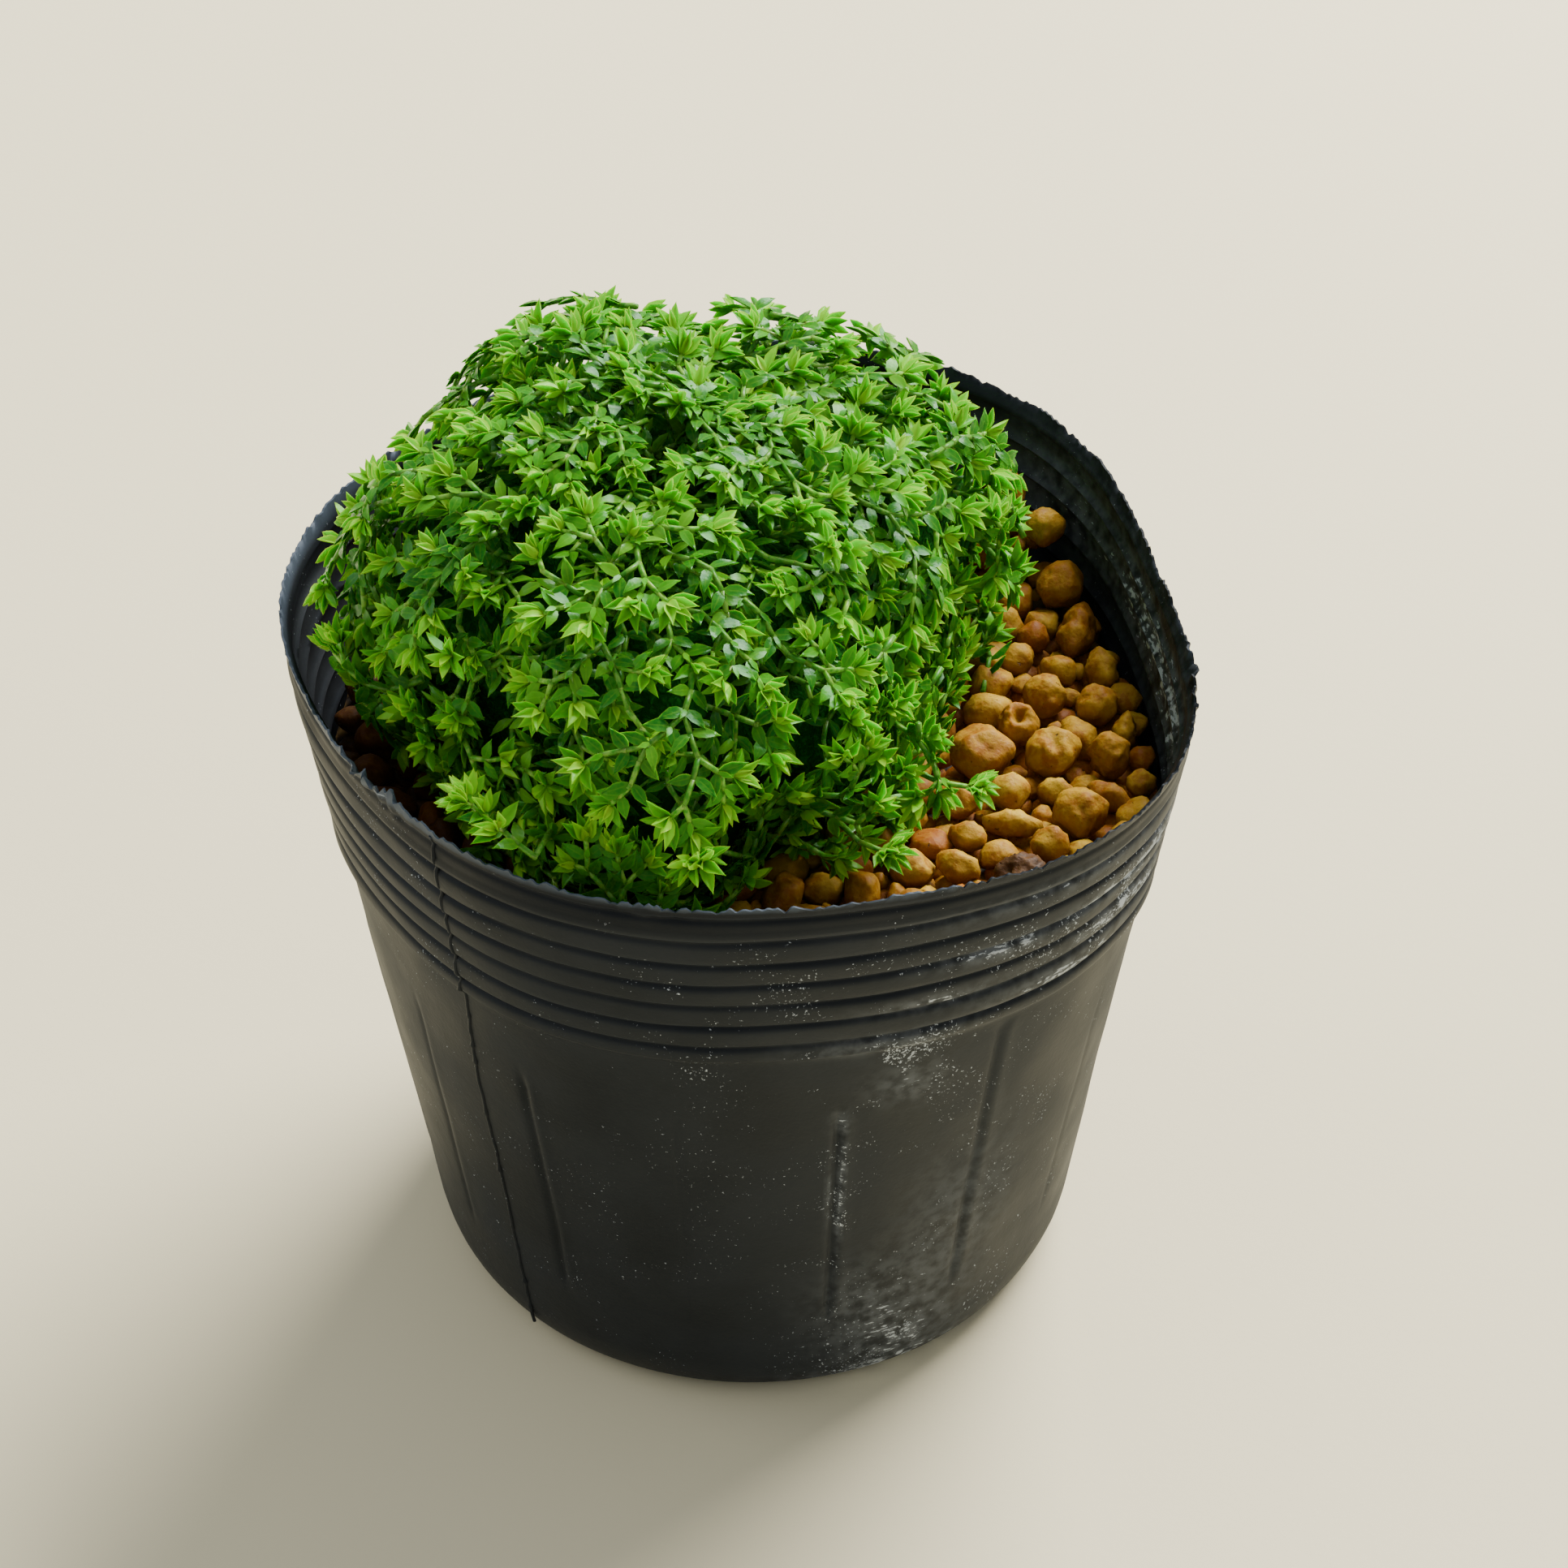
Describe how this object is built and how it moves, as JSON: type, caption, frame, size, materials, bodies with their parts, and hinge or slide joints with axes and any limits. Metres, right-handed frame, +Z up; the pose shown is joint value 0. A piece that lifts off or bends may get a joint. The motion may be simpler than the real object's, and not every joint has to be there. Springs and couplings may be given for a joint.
{
  "type": "spikemoss clump in a nursery pot",
  "caption": "Cushion of low branching spikemoss growing in a soft round black nursery pot, the bare side topped with ochre gravel.",
  "frame": {"origin": "middle of the outline's footprint on the surface that the pot stands on", "axes": "+Z up out of the pot; -Y towards the viewer of the picture; +X to the side with the bare gravel"},
  "size_m": [0.087, 0.0902, 0.1044],
  "materials": {
    "black_film": "satin soft polyethylene film, dusty",
    "packed_gravel": "damp packed granules",
    "ochre_grain": "smooth waxy ochre granules",
    "dark_grain": "porous matt",
    "moss_green": "small glossy leaves, dark in the depths",
    "shoot_green": "fresh yellow-green shoots"
  },
  "bodies": {
    "root": {"gravel_bed": "packed_gravel", "moss_mound": "moss_green", "nursery_pot": "black_film", "pebble_back_large": "ochre_grain", "pebble_back_low": "ochre_grain", "pebble_back_round": "ochre_grain", "pebble_back_yellow": "ochre_grain", "pebble_bent": "ochre_grain", "pebble_big_round": "ochre_grain", "pebble_dark_porous": "dark_grain", "pebble_dimpled": "ochre_grain", "pebble_flat": "ochre_grain", "pebble_front_edge": "ochre_grain", "pebble_front_left": "ochre_grain", "pebble_front_middle": "ochre_grain", "pebble_front_red": "ochre_grain", "pebble_front_small": "ochre_grain", "pebble_green_spotted": "ochre_grain", "pebble_heap_high": "ochre_grain", "pebble_heap_low": "ochre_grain", "pebble_lumpy": "ochre_grain", "pebble_pale": "ochre_grain", "pebble_peanut": "ochre_grain", "pebble_pear": "ochre_grain", "pebble_pillow": "ochre_grain", "pebble_pitted": "ochre_grain", "pebble_red_bead": "ochre_grain", "pebble_rice": "ochre_grain", "pebble_round": "ochre_grain", "pebble_square": "ochre_grain", "pebble_tall": "ochre_grain", "pebble_wall_bead": "ochre_grain", "pebble_wall_oval": "ochre_grain", "pebble_wall_round": "ochre_grain", "pebble_wall_slim": "ochre_grain", "sprig_front": "shoot_green", "sprig_front_right": "shoot_green", "sprig_low_right": "shoot_green", "sprig_over_rim": "shoot_green"}
  },
  "joints": []
}
